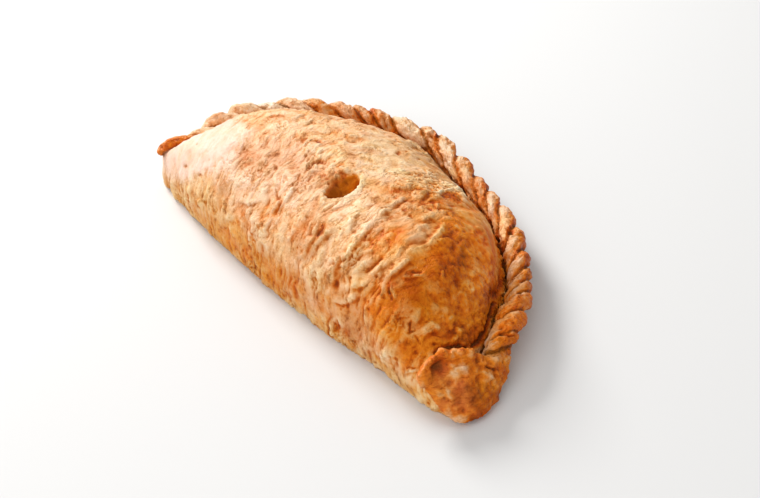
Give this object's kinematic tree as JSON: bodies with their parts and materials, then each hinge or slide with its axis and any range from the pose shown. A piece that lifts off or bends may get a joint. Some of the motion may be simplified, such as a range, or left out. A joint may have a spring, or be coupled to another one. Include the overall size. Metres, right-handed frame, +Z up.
{
  "type": "cornish pasty",
  "caption": "Half-moon baked pasty with a domed crust, a rope-twist crimp along the curved edge, one end folded back as a tab and a small steam vent.",
  "frame": {"origin": "centre of the bounding box, on the flat underside", "axes": "+X along the straight fold towards the end with the folded tab, +Y from the fold to the crimp, +Z up from the flat underside"},
  "size_m": [0.1946, 0.1074, 0.043],
  "materials": {
    "crust": "baked golden brown shortcrust, dry and flaky, with a slight egg-wash sheen that is stronger near the folded end"
  },
  "bodies": {
    "root": {"pasty": "crust"}
  },
  "joints": []
}
